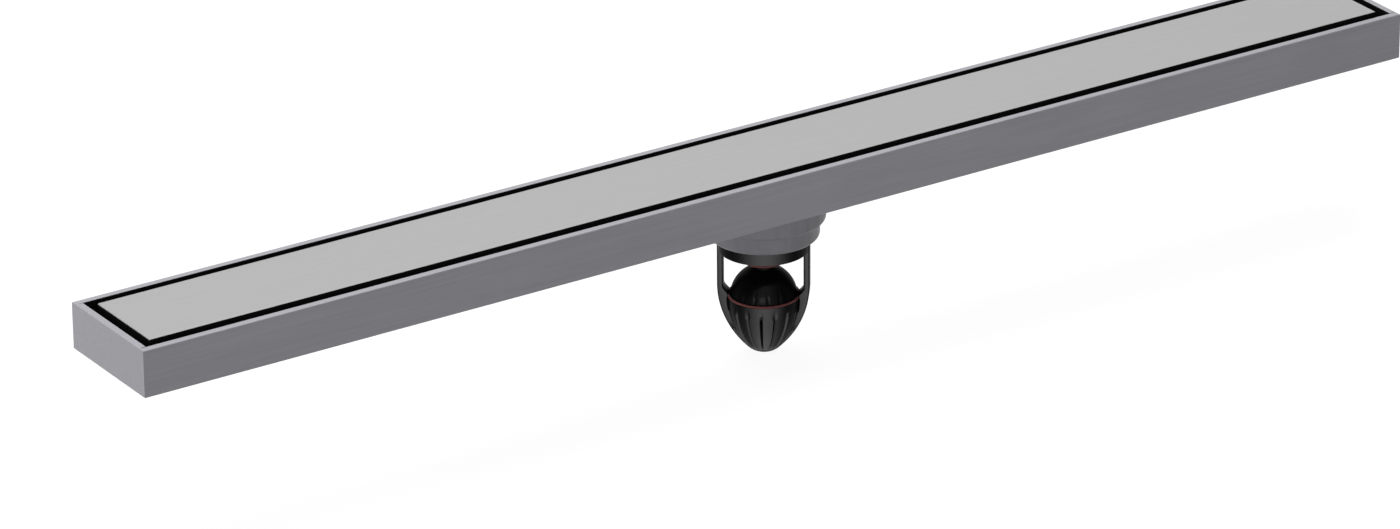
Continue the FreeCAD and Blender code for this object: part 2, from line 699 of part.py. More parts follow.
def make_return_spring():
    """The light coil spring that stands in the cup and lifts the dome."""
    low = cup_floor + size.spring_wire
    height = spring_seat - size.spring_wire - low
    helix = doc.addObject("Part::Helix", "spring_path")
    helix.setExpression("Radius", size.spring_radius.formula)
    helix.setExpression("Height", height.formula)
    helix.setExpression("Pitch", (height / size.spring_coils).formula)
    helix.setExpression("Placement.Base.z", low.formula)
    wire = doc.addObject("Part::RegularPolygon", "spring_wire_section")
    wire.Polygon = 4
    wire.setExpression("Circumradius", size.spring_wire.formula)
    upright = FreeCAD.Rotation(FreeCAD.Vector(1, 0, 0), 90)
    wire.Placement = FreeCAD.Placement(FreeCAD.Vector(size.spring_radius.number, 0, low.number), upright)
    wire.setExpression("Placement.Base.x", size.spring_radius.formula)
    wire.setExpression("Placement.Base.z", low.formula)
    doc.recompute()
    spring = doc.addObject("Part::Sweep", "return_spring")
    spring.Label = "return_spring"
    spring.Sections = [wire]
    spring.Spine = (helix, ["Edge%d" % (number + 1) for number in range(len(helix.Shape.Edges))])
    spring.Solid = True
    spring.Frenet = True
    return spring


sub_parts = [
    make_channel_trough(),
    make_end_plate("end_plate_left", -1),
    make_end_plate("end_plate_right", 1),
    make_cover_panel(),
]
sub_parts += [make_panel_support(number) for number in range(1, int(size.support_count.number) + 1)]
sub_parts += [
    make_outlet_cup(),
    make_hair_strainer(),
    make_flat_ring("flange_gasket", collar_radius, flange_radius, seat_top, flange_under),
    make_core_sleeve(),
    make_flat_ring("sleeve_seal", seal_inner, seal_outer, seal_low, seal_high),
    make_valve_cage(),
    make_flat_ring("cup_seal", cup_bore, cup_seal_radius, cup_lip, cup_lip + size.cup_seal_thickness),
    make_valve_dome(),
    make_crown_gasket(),
    make_gasket_screw(),
    make_guide_stem(),
    make_return_spring(),
]
doc.recompute()

for item in doc.Objects:
    if "Invalid" in item.State or "Error" in item.State:
        raise RuntimeError("%s failed to build: %s" % (item.Label, item.State))
for item in sub_parts:
    if item.Shape.isNull() or not item.Shape.isValid():
        raise RuntimeError(item.Label + " has no valid shape")

os.makedirs("parts", exist_ok=True)
for item in sub_parts:
    item.Shape.exportStep(os.path.join("parts", item.Label + ".step"))
    box = item.Shape.BoundBox
    print("%-20s solids %d  volume %9.1f mm3  X %7.1f..%7.1f  Y %6.1f..%6.1f  Z %7.2f..%7.2f" % (
        item.Label, len(item.Shape.Solids), item.Shape.Volume,
        box.XMin, box.XMax, box.YMin, box.YMax, box.ZMin, box.ZMax))
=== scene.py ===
from math import acos, atan2, cos, hypot, pi, radians, sin, sqrt

import bpy
from mathutils import Matrix, Vector


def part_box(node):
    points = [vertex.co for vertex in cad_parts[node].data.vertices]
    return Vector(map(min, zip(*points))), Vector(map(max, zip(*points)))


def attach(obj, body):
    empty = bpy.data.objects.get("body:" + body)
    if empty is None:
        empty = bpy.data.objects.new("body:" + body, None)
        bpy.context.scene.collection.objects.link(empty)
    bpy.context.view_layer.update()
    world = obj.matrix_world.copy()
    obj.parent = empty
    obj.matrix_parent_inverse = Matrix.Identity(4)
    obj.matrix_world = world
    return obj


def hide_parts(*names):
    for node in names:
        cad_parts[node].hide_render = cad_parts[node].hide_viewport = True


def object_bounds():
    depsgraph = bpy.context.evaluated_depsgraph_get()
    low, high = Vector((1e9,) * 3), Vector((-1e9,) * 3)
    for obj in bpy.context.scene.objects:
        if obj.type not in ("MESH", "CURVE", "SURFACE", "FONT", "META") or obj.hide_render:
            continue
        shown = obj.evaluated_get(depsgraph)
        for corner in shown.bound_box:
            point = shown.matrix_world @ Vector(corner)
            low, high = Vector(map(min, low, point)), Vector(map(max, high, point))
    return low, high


# A linear shower drain: a steel channel with its cover plate, a stepped outlet, and a trap core
# with a sprung dome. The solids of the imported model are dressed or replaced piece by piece.
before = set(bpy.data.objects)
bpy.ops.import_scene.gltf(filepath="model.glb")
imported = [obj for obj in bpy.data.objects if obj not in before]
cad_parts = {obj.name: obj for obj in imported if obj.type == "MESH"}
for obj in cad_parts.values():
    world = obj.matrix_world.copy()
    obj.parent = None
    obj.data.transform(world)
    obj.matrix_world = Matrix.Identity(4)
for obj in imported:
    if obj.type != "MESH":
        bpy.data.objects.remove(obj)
cad_low, cad_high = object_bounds()


# The view. The drain is seen from above its front left corner through a long lens. The lens and
# the place of the channel's middle are given in pixels of the 1400 pixel wide picture.
MM = 0.001
PICTURE_WIDTH = 1400
SENSOR_WIDTH = 36.0
lens_pixels = 7893.8
heading, descent, lean = radians(33.141), radians(23.973), radians(0.412)
middle_right, middle_up = 63.30, 112.35
middle_distance = 4.0025
sight = 100

view_turn = (Matrix.Rotation(-heading, 3, "Z") @ Matrix.Rotation(pi / 2 - descent, 3, "X")
             @ Matrix.Rotation(-lean, 3, "Z"))
metres_per_pixel = middle_distance / lens_pixels
middle_from_lens = Vector((middle_right, middle_up, -lens_pixels)) * metres_per_pixel
bpy.ops.object.camera_add(location=-(view_turn @ middle_from_lens), rotation=view_turn.to_euler())
camera = bpy.context.object
camera.data.sensor_width = SENSOR_WIDTH
camera.data.lens = SENSOR_WIDTH * lens_pixels / PICTURE_WIDTH
camera.data.clip_end = sight
bpy.context.scene.camera = camera
bpy.context.scene.view_settings.view_transform = "Standard"


# The studio. A wide white floor just under the trap's tip, a large softbox overhead, a smaller
# one off the left end, a weak one in front, and a room that looks white to the lens and to gloss.
def add_node(tree, kind, inputs=None, **settings):
    """Add a shader node; an input takes a plain value or another node's output."""
    node = tree.nodes.new(kind)
    for name, value in settings.items():
        setattr(node, name, value)
    for name, value in (inputs or {}).items():
        if isinstance(value, bpy.types.NodeSocket):
            tree.links.new(value, node.inputs[name])
        else:
            node.inputs[name].default_value = value
    return node


def calculate(tree, operation, *values):
    node = add_node(tree, "ShaderNodeMath", dict(enumerate(values)), operation=operation)
    return node.outputs[0]


def seen_or_mirrored(tree):
    """1 for the rays that show the background, from the lens or by way of gloss or glass."""
    path = add_node(tree, "ShaderNodeLightPath").outputs
    direct = calculate(tree, "MAXIMUM", path["Is Camera Ray"], path["Is Glossy Ray"])
    return calculate(tree, "MAXIMUM", direct, path["Is Transmission Ray"])


def new_material(name):
    material = bpy.data.materials.new(name)
    material.use_nodes = True
    material.node_tree.nodes.clear()
    return material, material.node_tree


def grey(level):
    return (level, level, level, 1)


def add_softbox(name, place, side, watts, mirrored=True):
    """Add a square softbox that faces the drain; one that isn't mirrored shows in no gloss."""
    bpy.ops.object.light_add(type="AREA", location=place)
    lamp = bpy.context.object
    lamp.name = name
    lamp.rotation_euler = (-Vector(place)).to_track_quat("-Z", "Y").to_euler()
    lamp.data.shape = "RECTANGLE"
    lamp.data.size = lamp.data.size_y = side
    lamp.data.energy = watts
    lamp.visible_camera = False
    lamp.visible_glossy = mirrored


add_softbox("overhead_softbox", (0.2, 0.9, 2.4), 2.4, 54.5)
add_softbox("left_softbox", (-2.2, 0.1, 0.3), 1.4, 19.2, mirrored=False)
add_softbox("front_softbox", (-1.4, -1.9, 0.1), 1.0, 9)

room = bpy.data.worlds.new("pale_room")
bpy.context.scene.world = room
room.use_nodes = True
tree = room.node_tree
tree.nodes.clear()
room_light = add_node(tree, "ShaderNodeBackground", {"Color": grey(0.1), "Strength": 1.0})
room_white = add_node(tree, "ShaderNodeBackground", {"Color": grey(1), "Strength": 1.0})
room_mix = add_node(tree, "ShaderNodeMixShader", {
    0: seen_or_mirrored(tree), 1: room_light.outputs[0], 2: room_white.outputs[0]})
add_node(tree, "ShaderNodeOutputWorld", {"Surface": room_mix.outputs[0]})

floor_side, floor_gap = 60, 0.5 * MM
bpy.ops.object.select_all(action="DESELECT")
bpy.ops.mesh.primitive_plane_add(size=floor_side, location=(0, 0, cad_low.z - floor_gap))
floor = bpy.context.object
floor.name = "studio_floor"
floor_paint, tree = new_material("studio_floor_paint")
lit = add_node(tree, "ShaderNodeBsdfDiffuse", {"Color": grey(0.2)})
glow = add_node(tree, "ShaderNodeEmission", {"Color": grey(1), "Strength": 0.93})
shown = add_node(tree, "ShaderNodeAddShader", {0: lit.outputs[0], 1: glow.outputs[0]})
dim = add_node(tree, "ShaderNodeBsdfDiffuse", {"Color": grey(0.25)})
paint = add_node(tree, "ShaderNodeMixShader", {
    0: seen_or_mirrored(tree), 1: dim.outputs[0], 2: shown.outputs[0]})
add_node(tree, "ShaderNodeOutputMaterial", {"Surface": paint.outputs[0]})
floor.data.materials.append(floor_paint)


# The channel. One stainless sheet folded into floor, walls and a hemmed rim, and an end plate
# folded the same way and welded into each end. It is rolled steel, with fine lines along it.
GRAIN_HEIGHT = 0.05 * MM


def new_group(name, inputs, outputs):
    """Start a shader node group with named sockets; each input comes with its usual value."""
    group = bpy.data.node_groups.new(name, "ShaderNodeTree")
    for socket, kind, value in inputs:
        item = group.interface.new_socket(name=socket, in_out="INPUT", socket_type=kind)
        item.default_value = value
    for socket, kind in outputs:
        group.interface.new_socket(name=socket, in_out="OUTPUT", socket_type=kind)
    return group, group.nodes.new("NodeGroupInput"), group.nodes.new("NodeGroupOutput")


def place_group(tree, group, values):
    """Put a node group in a material, with this material's own values."""
    node = add_node(tree, "ShaderNodeGroup", node_tree=group)
    for socket, value in values.items():
        node.inputs[socket].default_value = value
    return node.outputs


def noise(tree, place, scale, detail):
    return add_node(tree, "ShaderNodeTexNoise", {
        "Vector": place, "Scale": scale, "Detail": detail}).outputs["Fac"]


def remap(tree, value, low, high, to_low, to_high):
    """Spread the values between low and high over another range."""
    return add_node(tree, "ShaderNodeMapRange", {
        "Value": value, "From Min": low, "From Max": high,
        "To Min": to_low, "To Max": to_high}).outputs[0]


def mix_values(tree, share, first, second):
    return add_node(tree, "ShaderNodeMix", {0: share, 2: first, 3: second}).outputs[0]


def mix_colours(tree, share, first, second):
    return add_node(tree, "ShaderNodeMix", {0: share, 6: first, 7: second},
                    data_type="RGBA").outputs[2]


# Rolled or brushed lines: long thin noise along the grain, and slow clouds of shade under it.
steel_grain, given, result = new_group(
    "steel_grain",
    [("Stretch", "NodeSocketVector", (20, 900, 900)),
     ("Light Tone", "NodeSocketColor", grey(0.5)), ("Dark Tone", "NodeSocketColor", grey(0.45)),
     ("Relief", "NodeSocketFloat", 0.1), ("Smooth", "NodeSocketFloat", 0.35),
     ("Rough", "NodeSocketFloat", 0.5)],
    [("Tone", "NodeSocketColor"), ("Roughness", "NodeSocketFloat"),
     ("Normal", "NodeSocketVector")])
place = add_node(steel_grain, "ShaderNodeTexCoord").outputs["Object"]
along = add_node(steel_grain, "ShaderNodeVectorMath", {0: place, 1: given.outputs["Stretch"]},
                 operation="MULTIPLY").outputs[0]
lines = noise(steel_grain, along, 1.0, 4.0)
clouds = noise(steel_grain, place, 14.0, 3.0)
spread = remap(steel_grain, mix_values(steel_grain, 0.3, lines, clouds), 0.3, 0.7, 0.0, 1.0)
tone = mix_colours(steel_grain, spread, given.outputs["Dark Tone"], given.outputs["Light Tone"])
rough = remap(steel_grain, spread, 0.0, 1.0, given.outputs["Rough"], given.outputs["Smooth"])
relief = add_node(steel_grain, "ShaderNodeBump", {
    "Strength": given.outputs["Relief"], "Distance": GRAIN_HEIGHT, "Height": lines}).outputs[0]
for socket, value in (("Tone", tone), ("Roughness", rough), ("Normal", relief)):
    steel_grain.links.new(value, result.inputs[socket])

# A box round the middle of the piece's own space: 1 inside it, 0 outside.
within_box, given, result = new_group(
    "within_box",
    [("Half Length", "NodeSocketFloat", 0.38), ("Half Width", "NodeSocketFloat", 0.03),
     ("Bottom", "NodeSocketFloat", -1.0), ("Top", "NodeSocketFloat", 0.0)],
    [("Inside", "NodeSocketFloat")])
place = add_node(within_box, "ShaderNodeTexCoord").outputs["Object"]
reach = add_node(within_box, "ShaderNodeSeparateXYZ", {0: place}).outputs
inside = None
for value, comparison, limit in (
        (calculate(within_box, "ABSOLUTE", reach["X"]), "LESS_THAN", "Half Length"),
        (calculate(within_box, "ABSOLUTE", reach["Y"]), "LESS_THAN", "Half Width"),
        (reach["Z"], "GREATER_THAN", "Bottom"), (reach["Z"], "LESS_THAN", "Top")):
    test = calculate(within_box, comparison, value, given.outputs[limit])
    inside = calculate(within_box, "MULTIPLY", inside, test) if inside else test
within_box.links.new(inside, result.inputs["Inside"])

# Painted shade: the slots between the cover and the channel are painted near-black and matt,
# standing in for the shadow that fills them.
SLOT_PAINTED_SHADE, SLOT_SHADE_ROUGH = (0.002, 0.002, 0.002, 1), 0.9
STEEL_METALLIC, STEEL_GLOSS = 0.2, 0.15


def steel(name, light_tone, dark_tone, stretch, smooth, rough, relief,
          shade_box=None, shade_inside=True):
    """Steel with its grain and painted shade: black and matt inside (or outside) the given box,
    for the shadow in the slots.

    The shade box is (half length, half width, bottom, top), in metres.
    """
    material, tree = new_material(name)
    grain = place_group(tree, steel_grain, {
        "Stretch": stretch, "Light Tone": light_tone, "Dark Tone": dark_tone,
        "Relief": relief, "Smooth": smooth, "Rough": rough})
    colour, roughness = grain["Tone"], grain["Roughness"]
    if shade_box:
        inside = place_group(tree, within_box, dict(zip(
            ("Half Length", "Half Width", "Bottom", "Top"), shade_box)))["Inside"]
        painted_shade = inside if shade_inside else calculate(tree, "SUBTRACT", 1.0, inside)
        colour = mix_colours(tree, painted_shade, colour, SLOT_PAINTED_SHADE)
        roughness = mix_values(tree, painted_shade, roughness, SLOT_SHADE_ROUGH)
    shader = add_node(tree, "ShaderNodeBsdfPrincipled", {
        "Base Color": colour, "Metallic": STEEL_METALLIC, "Roughness": roughness,
        "Specular IOR Level": STEEL_GLOSS, "Normal": grain["Normal"]})
    add_node(tree, "ShaderNodeOutputMaterial", {"Surface": shader.outputs[0]})
    return material


def finish_node(name, material):
    """Give a CAD node its material."""
    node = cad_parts[name]
    node.data.materials.clear()
    node.data.materials.append(material)


def cool_grey(level):
    return (level * 0.985, level * 0.97, level * 1.05, 1)


trough_low, trough_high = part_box("channel_trough")
half_sheet, fold_depth = 0.6 * MM, 0.05 * MM
# Painted shade: the channel's inside below the rim's fold is painted black, standing in for the
# shadow seen through the slots.
channel_inside = (cad_high.x - half_sheet, trough_high.y - half_sheet,
                  trough_low.z + half_sheet, -fold_depth)
channel_steel = steel("channel_steel", cool_grey(0.48), cool_grey(0.43), (22, 900, 900),
                      smooth=0.38, rough=0.55, relief=0.25, shade_box=channel_inside)
for name in ("channel_trough", "end_plate_left", "end_plate_right"):
    finish_node(name, channel_steel)


# The cover. A flat steel plate with its edges folded down into a short skirt; its face is finely
# brushed along the drain, and its long skirts and a thin strip along its long edges are painted
# black as painted shade, for the dark slot.
cover_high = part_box("cover_panel")[1]
cover_edge, far_below = 0.3 * MM, -1.0
cover_face = (cover_high.x, cover_high.y - cover_edge, far_below, cover_high.z + MM)
cover_steel = steel("cover_steel", grey(0.50), grey(0.47), (14, 1500, 1500),
                    smooth=0.34, rough=0.46, relief=0.12,
                    shade_box=cover_face, shade_inside=False)
finish_node("cover_panel", cover_steel)


# The four bridges that carry the cover, folded from the same sheet as the channel, in the dark
# under the cover. Their ends are painted black where the slots show them, as painted shade.
slot_reach = 6 * MM
under_cover = (cover_high.x, cover_high.y - slot_reach, far_below, MM)
bridge_steel = steel("bridge_steel", grey(0.42), grey(0.34), (900, 22, 900),
                     smooth=0.36, rough=0.5, relief=0.2,
                     shade_box=under_cover, shade_inside=False)
for number in range(1, 5):
    finish_node("panel_support_%d" % number, bridge_steel)


# The outlet. A steel pressing welded under the channel: a wide upper step that seats the trap core
# and a narrower lower step that the waste pipe slips over, both with soft pressed corners.
TURN_STEPS = 128
SAME_PLACE = 0.0005 * MM


def arc(middle_radius, middle_height, radius, start, end, steps):
    """Points of a round corner, with its angles in degrees from the outward direction."""
    points = []
    for step in range(steps + 1):
        angle = radians(start + (end - start) * step / steps)
        points.append((middle_radius + radius * cos(angle), middle_height + radius * sin(angle)))
    return points


def select_verts(mesh_object, wanted):
    """In edit mode, select the vertices for which wanted(place) is true."""
    bpy.ops.object.mode_set(mode="OBJECT")
    mesh = mesh_object.data
    for face in mesh.polygons:
        face.select = False
    for edge in mesh.edges:
        edge.select = False
    for vert in mesh.vertices:
        vert.select = wanted(vert.co)
    bpy.ops.object.mode_set(mode="EDIT")


def turned(name, outline, closed=True, steps=TURN_STEPS):
    """Turn an outline of (radius, height) points, in mm, round the outlet's axis.

    A circle is drawn at the first point, then extruded, moved and widened to each next one. A
    closed outline ends by joining its first circle; an open one starts and ends at the axis.
    """
    bpy.ops.object.select_all(action="DESELECT")
    radius, height = outline[0]
    bpy.ops.mesh.primitive_circle_add(vertices=steps, radius=radius * MM,
                                      location=(0, 0, height * MM))
    bpy.ops.object.transform_apply(location=True)
    piece = bpy.context.object
    piece.name = piece.data.name = name
    bpy.ops.object.mode_set(mode="EDIT")
    bpy.ops.mesh.select_mode(type="VERT")
    bpy.ops.mesh.select_all(action="SELECT")
    if not closed:
        bpy.ops.mesh.extrude_region_move()
        bpy.ops.mesh.merge(type="CENTER")
        select_verts(piece, lambda place: hypot(place.x, place.y) > radius * MM / 2)
    for next_radius, next_height in outline[1:] + (outline[:1] if closed else []):
        bpy.ops.mesh.extrude_region_move(
            TRANSFORM_OT_translate={"value": (0, 0, (next_height - height) * MM)})
        share = next_radius / radius
        bpy.ops.transform.resize(value=(share, share, 1), center_override=(0, 0, 0))
        radius, height = next_radius, next_height
    if not closed:
        bpy.ops.mesh.extrude_region_move()
        bpy.ops.mesh.merge(type="CENTER")
    bpy.ops.mesh.select_all(action="SELECT")
    bpy.ops.mesh.remove_doubles(threshold=SAME_PLACE)
    bpy.ops.mesh.normals_make_consistent(inside=False)
    bpy.ops.object.mode_set(mode="OBJECT")
    return piece


def dress(piece, material, body, replaced, angle=35):
    """Shade a finished piece smoothly, give it its material and tie it to the frame."""
    bpy.ops.object.select_all(action="DESELECT")
    piece.select_set(True)
    bpy.context.view_layer.objects.active = piece
    bpy.ops.object.shade_smooth_by_angle(angle=radians(angle))
    piece.data.materials.clear()
    piece.data.materials.append(material)
    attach(piece, body)
    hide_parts(replaced)


sheet, corner = 1.2, 2.4
inner_corner = corner - sheet
seat_radius, spigot_radius, mouth_radius = 32.0, 28.8, 24.2
outlet_low, outlet_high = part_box("outlet_cup")
outlet_top, outlet_end = outlet_high.z / MM, outlet_low.z / MM
step_height = 11.0
seat_under = outlet_top - step_height
fold_round, seat_fold_round = 0.5, 0.6
outlet_outline = (
    [(seat_radius, outlet_top)]
    + arc(seat_radius - corner, seat_under + corner, corner, 0, -90, 6)
    + arc(spigot_radius + fold_round, seat_under - fold_round, fold_round, 90, 180, 3)
    + arc(spigot_radius - corner, outlet_end + corner, corner, 0, -90, 6)
    + arc(mouth_radius + fold_round, outlet_end + fold_round, fold_round, -90, -180, 3)
    + [(mouth_radius, outlet_end + sheet)]
    + arc(spigot_radius - corner, outlet_end + corner, inner_corner, -90, 0, 5)
    + [(spigot_radius - sheet, seat_under + sheet - seat_fold_round)]
    + arc(spigot_radius - sheet + seat_fold_round, seat_under + sheet - seat_fold_round,
          seat_fold_round, 180, 90, 3)
    + arc(seat_radius - corner, seat_under + corner, inner_corner, -90, 0, 5)
    + [(seat_radius - sheet, outlet_top)]
)
# Painted shade: the outlet's steel has a darker tone than the channel's, for the shadow the
# channel casts on it.
shaded_outlet_steel = steel("shaded_outlet_steel", cool_grey(0.33), cool_grey(0.28), (300, 300, 60),
                     smooth=0.36, rough=0.5, relief=0.25)
outlet = turned("pressed_outlet", outlet_outline)
dress(outlet, shaded_outlet_steel, "drain", "outlet_cup")


# The hair strainer. A thin stainless disc with rings of holes, laid loose on the trap core's
# flange; it is polished finer than the channel.
# Painted shade: the disc is painted black outside the strip under the cover's middle, where the
# slots would show it.
strainer_steel = steel("strainer_steel", grey(0.55), grey(0.48), (120, 120, 120),
                       smooth=0.28, rough=0.4, relief=0.1,
                       shade_box=under_cover, shade_inside=False)
finish_node("hair_strainer", strainer_steel)


# The trap core's sleeve. A black moulding: a seat flange, a grooved collar for the seal, and a
# funnel whose nozzle the dome closes. Its neck is pressed into the cage's ring.
moulded_skin, given, result = new_group(
    "moulded_skin",
    [("Tone", "NodeSocketColor", grey(0.012)), ("Worn Tone", "NodeSocketColor", grey(0.02)),
     ("Fineness", "NodeSocketFloat", 900.0), ("Relief", "NodeSocketFloat", 0.1),
     ("Smooth", "NodeSocketFloat", 0.25), ("Rough", "NodeSocketFloat", 0.4)],
    [("Tone", "NodeSocketColor"), ("Roughness", "NodeSocketFloat"),
     ("Normal", "NodeSocketVector")])
place = add_node(moulded_skin, "ShaderNodeTexCoord").outputs["Object"]
clouds = noise(moulded_skin, place, 60.0, 3.0)
pores = noise(moulded_skin, place, given.outputs["Fineness"], 2.0)
tone = mix_colours(moulded_skin, clouds, given.outputs["Tone"], given.outputs["Worn Tone"])
rough = remap(moulded_skin, clouds, 0.3, 0.7, given.outputs["Smooth"], given.outputs["Rough"])
relief = add_node(moulded_skin, "ShaderNodeBump", {
    "Strength": given.outputs["Relief"], "Distance": GRAIN_HEIGHT, "Height": pores}).outputs[0]
for socket, value in (("Tone", tone), ("Roughness", rough), ("Normal", relief)):
    moulded_skin.links.new(value, result.inputs[socket])

# Painted highlight: the coat reflects the room, but its weight is painted into a band on the side
# turned to the eye, and fades towards the piece's outline, which leaves painted dark outlines.
HIGHLIGHT_BAND_START, HIGHLIGHT_BAND_END, HIGHLIGHT_BAND_FALL = 0.087, 0.43, 4.0
OUTLINE_START, OUTLINE_END = 0.4, 0.85


def moulded(name, tone, worn_tone, fineness, relief, smooth, rough, gloss, highlight_polish):
    """A moulded skin: faint clouds of shade, fine pores, a dull body and a coat painted into a
    highlight that faces the eye.
    """
    material, tree = new_material(name)
    skin = place_group(tree, moulded_skin, {
        "Tone": tone, "Worn Tone": worn_tone, "Fineness": fineness,
        "Relief": relief, "Smooth": smooth, "Rough": rough})
    normal = add_node(tree, "ShaderNodeNewGeometry").outputs["Normal"]
    level = add_node(tree, "ShaderNodeVectorMath", {0: normal, 1: (1, 1, 0)},
                     operation="MULTIPLY").outputs[0]
    level = add_node(tree, "ShaderNodeVectorMath", {0: level}, operation="NORMALIZE").outputs[0]
    sideways = add_node(tree, "ShaderNodeLayerWeight", {"Blend": 0.5, "Normal": level})
    highlight_band = remap(tree, sideways.outputs["Facing"], HIGHLIGHT_BAND_START, HIGHLIGHT_BAND_END, 1.0, 0.0)
    highlight_band = calculate(tree, "POWER", highlight_band, HIGHLIGHT_BAND_FALL)
    edge = add_node(tree, "ShaderNodeLayerWeight", {"Blend": 0.5})
    face = remap(tree, edge.outputs["Facing"], OUTLINE_START, OUTLINE_END, highlight_polish, 0.0)
    shader = add_node(tree, "ShaderNodeBsdfPrincipled", {
        "Base Color": skin["Tone"], "Roughness": skin["Roughness"],
        "Specular IOR Level": gloss, "Normal": skin["Normal"],
        "Coat Weight": calculate(tree, "MULTIPLY", highlight_band, face),
        "Coat Roughness": 0.2, "Coat IOR": 1.7})
    add_node(tree, "ShaderNodeOutputMaterial", {"Surface": shader.outputs[0]})
    return material


black_plastic = moulded("black_plastic", grey(0.003), grey(0.005), fineness=1400.0,
                        relief=0.15, smooth=0.3, rough=0.42, gloss=0.02, highlight_polish=0.88)
finish_node("core_sleeve", black_plastic)


# The silicone seals. A brick-red ring in the collar's groove, a flat one under the seat flange,
# and one on the cup's lip that shows as a thin red line round the trap's middle.
red_silicone = moulded("red_silicone", (0.22, 0.07, 0.07, 1), (0.27, 0.09, 0.09, 1),
                       fineness=700.0, relief=0.1, smooth=0.5, rough=0.62, gloss=0.2, highlight_polish=0.0)
for name in ("sleeve_seal", "flange_gasket"):
    finish_node(name, red_silicone)

cup_seal_low, cup_seal_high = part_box("cup_seal")
seal_low, seal_proud = cup_seal_low.z / MM, 0.5
seal_outer, seal_inner = cup_seal_high.x / MM + seal_proud, 17.7
bead_round, bead_rise, bead_turn, bead_inner_round = 0.6, 0.5, 56, 0.25
bead_foot = seal_outer - bead_round * (1 - cos(radians(bead_turn)))
cup_seal = turned("cup_lip_seal", (
    arc(seal_outer - bead_round, seal_low + bead_rise, bead_round, -bead_turn, 90, 8)
    + arc(seal_inner + bead_inner_round, seal_low + bead_rise + bead_round - bead_inner_round,
          bead_inner_round, 90, 180, 2)
    + [(seal_inner, seal_low), (bead_foot, seal_low)]))
dress(cup_seal, red_silicone, "drain", "cup_seal")


# The valve cage. One black moulding hangs under the sleeve: a short ring, two arms, and an
# egg-shaped cup with fine flutes and a guide tube inside. The arms run on over the cup as ribs.
cage_low, cage_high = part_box("valve_cage")
cage_radius, cage_wall, ring_height, ring_round = 23.7, 3.1, 9.3, 1.1
ring_top, ring_under = cage_high.z / MM, cage_high.z / MM - ring_height
cup_radius, cup_wall, cup_height, cup_tip_radius = 18.8, 1.6, 30.4, 13.2
cup_lip, cup_tip = seal_low, seal_low - cup_height
cup_bore, cup_stop, cup_floor = 17.6, cup_lip - 6.6, cup_tip + 9.8
core_turn = radians(-38)


def egg(start_radius, start_level, end_level, tip_radius, side_steps, tip_steps):
    """Points down an egg's outline: a long side arc that runs smoothly into a round tip."""
    rest = start_level - end_level - tip_radius
    side = (start_radius ** 2 + rest ** 2 - tip_radius ** 2) / (2 * (start_radius - tip_radius))
    joint = atan2(rest, side - start_radius)
    points = [(side * cos(joint * step / side_steps) - side + start_radius,
               start_level - side * sin(joint * step / side_steps)) for step in range(side_steps)]
    for step in range(tip_steps + 1):
        angle = joint + (pi / 2 - joint) * step / tip_steps
        points.append((tip_radius * cos(angle), end_level + tip_radius - tip_radius * sin(angle)))
    return points


def radius_at(outline, level):
    """Radius of an outline where it passes a level."""
    for (high_radius, high), (low_radius, low) in zip(outline, outline[1:]):
        if low <= level <= high:
            return high_radius + (low_radius - high_radius) * (high - level) / (high - low)
    return outline[-1][0]


cup_outside = egg(cup_radius, cup_lip, cup_tip, cup_tip_radius, 14, 12)
guide_bore, guide_radius = 2.05, 4.15
guide_top, guide_bottom = cup_floor + 12.6, cup_floor - 4.6
tip_ring = 0.3
cup_outline = (
    [(tip_ring, cup_tip)] + list(reversed(cup_outside[:-1]))
    + [(cup_bore, cup_lip), (cup_bore, cup_stop),
       (radius_at(cup_outside, cup_stop) - cup_wall, cup_stop),
       (radius_at(cup_outside, cup_floor) - cup_wall, cup_floor), (guide_radius, cup_floor),
       (guide_radius, guide_top), (guide_bore, guide_top), (guide_bore, guide_bottom),
       (tip_ring, guide_bottom)])
cup = turned("fluted_cup", cup_outline, closed=False)

flute_count, flute_depth = 16, 0.045
flute_top, flute_full, flute_end = cup_lip - 2.2, cup_lip - 4.5, cup_tip + 0.8
flute_turn = 2 * pi / flute_count
line_width, skin_depth = 0.01, 0.15


def press_flutes(piece, surface, low, high, depth):
    """Press the points on the flutes' lines in towards the axis, between two levels.

    Only the outside is pressed: surface(level) gives its radius. A line is line_width to each
    side, in radians, and depth is a share of the radius.
    """
    def pressed(place):
        radius, level = hypot(place.x, place.y) / MM, place.z / MM
        off_line = (atan2(place.y, place.x) + flute_turn / 2) % flute_turn - flute_turn / 2
        return abs(off_line) < line_width and low < level < high \
            and radius > surface(level) - skin_depth

    bpy.context.view_layer.objects.active = piece
    select_verts(piece, pressed)
    bpy.ops.transform.resize(value=(1 - depth, 1 - depth, 1), center_override=(0, 0, 0))
    bpy.ops.object.mode_set(mode="OBJECT")


def cup_surface(level):
    return radius_at(cup_outside, level)


# The flutes run from below the plain band at the lip to the tip, and start shallow.
press_flutes(cup, cup_surface, flute_full, flute_top, flute_depth / 2)
press_flutes(cup, cup_surface, flute_end, flute_full, flute_depth)

inner_edge = cage_radius - cage_wall
ring = turned("cage_ring", (
    [(cage_radius, ring_top)]
    + arc(cage_radius - ring_round, ring_under + ring_round, ring_round, 0, -90, 5)
    + [(inner_edge, ring_under), (inner_edge, ring_top)]))


